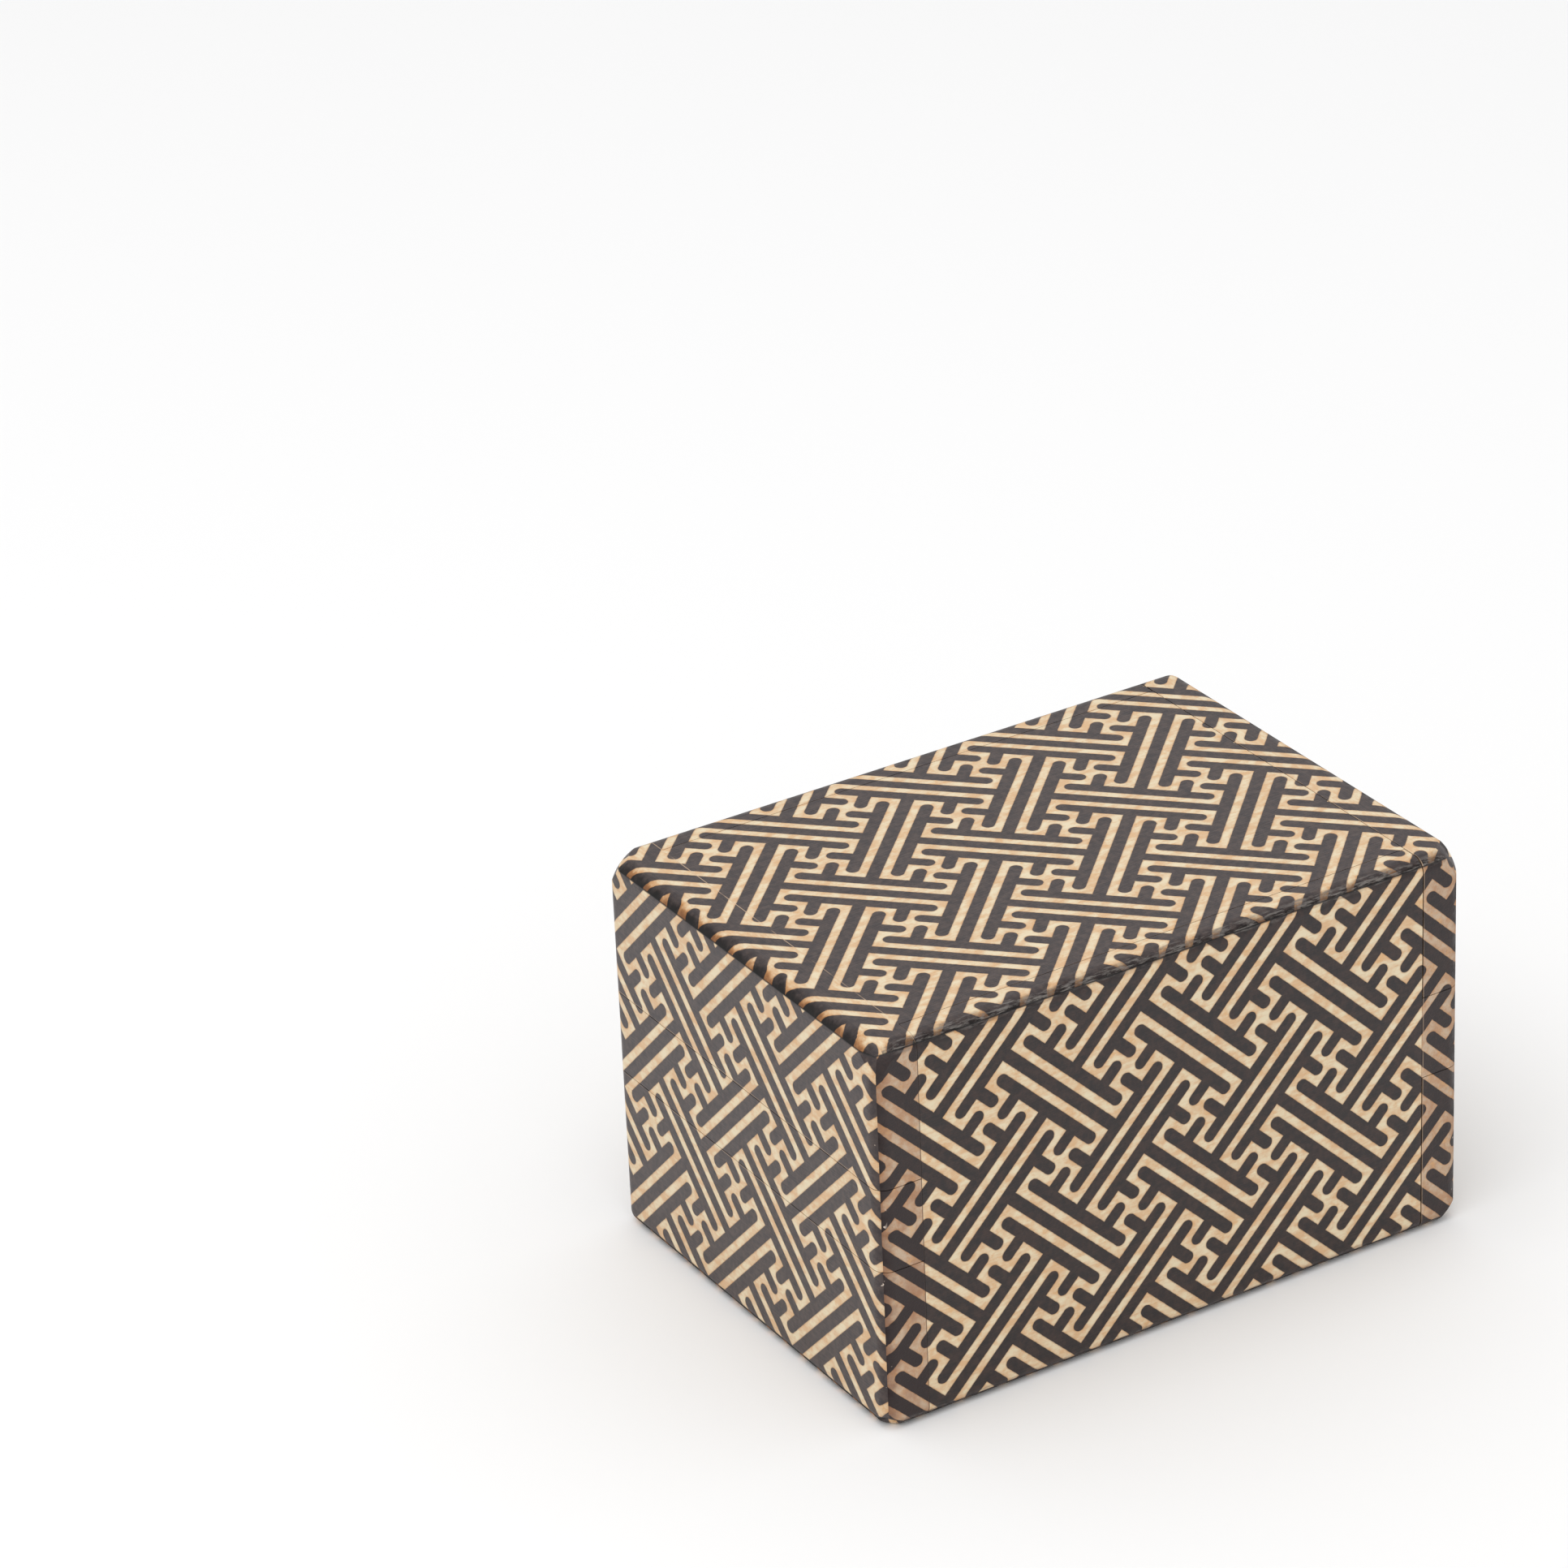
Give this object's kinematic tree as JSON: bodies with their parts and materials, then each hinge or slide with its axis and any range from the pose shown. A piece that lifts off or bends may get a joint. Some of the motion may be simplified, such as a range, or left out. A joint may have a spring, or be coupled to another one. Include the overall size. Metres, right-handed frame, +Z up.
{
  "type": "wooden puzzle box",
  "caption": "Wooden puzzle box with a sliding lid, sliding key bars across both ends and a hidden drawer under a false floor, covered in a fret pattern.",
  "frame": {"origin": "middle of the box's underside", "axes": "+X along the length towards the end without the drawer, +Y to the back, +Z up"},
  "size_m": [0.12, 0.086, 0.074],
  "materials": {
    "printed_wood": "satin charcoal-brown print over light wood",
    "plain_wood": "sanded, unfinished",
    "thin_board": "sanded, unfinished thin board",
    "hard_wood": "waxed"
  },
  "bodies": {
    "carcass": {"front_wall": "printed_wood", "back_wall": "printed_wood", "base_board": "printed_wood", "false_floor": "thin_board", "left_inner_wall": "plain_wood", "right_inner_wall": "plain_wood", "right_upper_bar": "printed_wood", "right_lower_bar": "printed_wood", "drawer_stop": "plain_wood"},
    "lid": {"lid_board": "printed_wood", "lid_end_bar": "printed_wood", "lid_runner_front": "hard_wood", "lid_runner_back": "hard_wood", "lid_stop_batten": "plain_wood"},
    "left_key": {"left_key_bar": "printed_wood", "left_key_tongue": "hard_wood", "left_key_upper_peg": "hard_wood", "left_key_lower_peg": "hard_wood"},
    "right_key": {"right_key_bar": "printed_wood", "right_key_tongue": "hard_wood", "right_key_arm": "hard_wood", "right_key_catch_peg": "hard_wood"},
    "drawer": {"drawer_front": "printed_wood", "drawer_side_front": "plain_wood", "drawer_side_back": "plain_wood", "drawer_tail": "plain_wood", "drawer_bottom": "thin_board", "drawer_catch": "hard_wood"}
  },
  "joints": [
    {"name": "left_key_slide", "type": "slide", "parent": "carcass", "child": "left_key", "axis": [0, -1, 0], "range_m": [0, 0.006]},
    {"name": "right_key_slide", "type": "slide", "parent": "carcass", "child": "right_key", "axis": [0, 1, 0], "range_m": [0, 0.006]},
    {"name": "lid_slide", "type": "slide", "parent": "carcass", "child": "lid", "axis": [-1, 0, 0], "range_m": [0, 0.083]},
    {"name": "drawer_slide", "type": "slide", "parent": "carcass", "child": "drawer", "axis": [-1, 0, 0], "range_m": [0, 0.081]}
  ]
}
